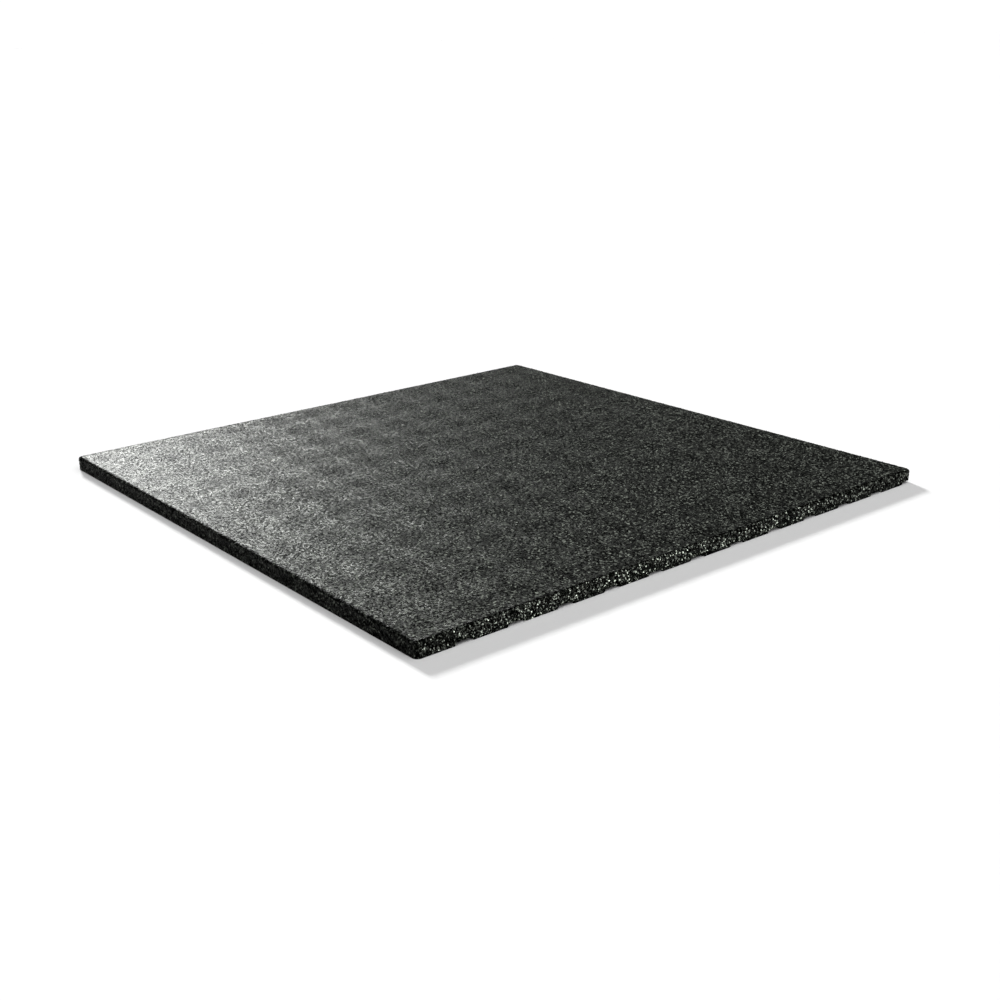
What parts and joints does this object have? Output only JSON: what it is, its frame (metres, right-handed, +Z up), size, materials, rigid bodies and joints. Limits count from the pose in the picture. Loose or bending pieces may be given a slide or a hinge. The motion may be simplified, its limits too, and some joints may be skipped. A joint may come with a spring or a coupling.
{
  "type": "impact floor tile",
  "caption": "Square black rubber-granulate floor tile with a softened upper edge and a studded underside whose channels drain and cushion it.",
  "frame": {"origin": "centre of the tile in plan, on the floor that its studs stand on", "axes": "+Z up out of the granulate walking face, +X and +Y along the sides; the channel that runs out along one side lies on +X"},
  "size_m": [1, 1, 0.023],
  "materials": {
    "rubber_granulate": "matte"
  },
  "bodies": {
    "root": {"impact_tile": "rubber_granulate"}
  },
  "joints": []
}
